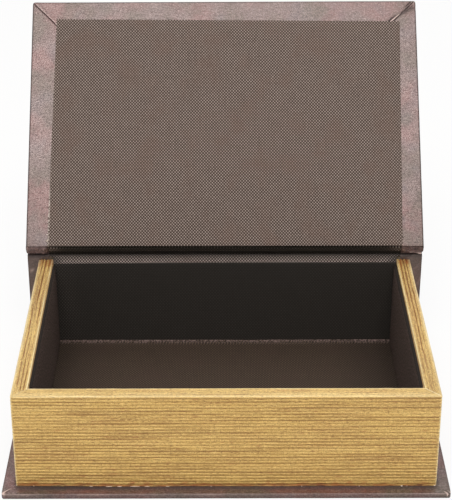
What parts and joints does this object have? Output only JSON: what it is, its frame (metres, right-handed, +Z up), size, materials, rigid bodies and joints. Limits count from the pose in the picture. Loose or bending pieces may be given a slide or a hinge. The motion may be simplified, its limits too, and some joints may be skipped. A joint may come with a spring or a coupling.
{
  "type": "book diversion safe",
  "caption": "Hollow imitation book: leather-covered base, spine and hinged lid around a block of gilt page edges that holds a cloth-lined compartment.",
  "frame": {"origin": "centre of the base's underside, midway between the cover's front edge and the outside of the spine", "axes": "+X to the right along the page block's front, +Y from the front edge back to the spine and lid hinge, +Z up"},
  "size_m": [0.24, 0.2648, 0.1874],
  "materials": {
    "cover_leather": "fine-grained imitation leather, dusky brown, satin",
    "cover_board": "thin grey fibreboard",
    "wall_board": "raw fibreboard",
    "page_edge": "moulded page ridges, antique gold paint with brown in the grooves",
    "inner_cloth": "woven lining cloth, very dark brown",
    "lid_cloth": "woven lining cloth, pale dots on dark brown"
  },
  "bodies": {
    "box": {"base_board": "cover_board", "base_leather": "cover_leather", "base_joint_leather": "cover_leather", "spine_board": "cover_board", "spine_leather": "cover_leather", "front_wall": "wall_board", "left_wall": "wall_board", "right_wall": "wall_board", "back_wall": "wall_board", "front_page_edge": "page_edge", "left_page_edge": "page_edge", "right_page_edge": "page_edge", "floor_lining": "inner_cloth", "front_lining": "inner_cloth", "left_lining": "inner_cloth", "right_lining": "inner_cloth", "back_lining": "inner_cloth"},
    "hinge_strip": {"hinge_leather": "cover_leather", "hinge_lining": "lid_cloth"},
    "lid": {"lid_board": "cover_board", "lid_leather": "cover_leather", "lid_lining": "lid_cloth"}
  },
  "joints": [
    {"name": "hinge_fold", "type": "hinge", "parent": "box", "child": "hinge_strip", "pos_m": [0, 0.08245, 0.0626], "axis": [-1, 0, 0], "range_deg": [-47.5, 26.7]},
    {"name": "lid_swing", "type": "hinge", "parent": "hinge_strip", "child": "lid", "pos_m": [0, 0.07768, 0.06772], "axis": [-1, 0, 0], "range_deg": [-84.5, 47]}
  ],
  "couplings": [
    {"joint": "hinge_fold", "follows": "lid_swing", "ratio": 0.55621}
  ]
}
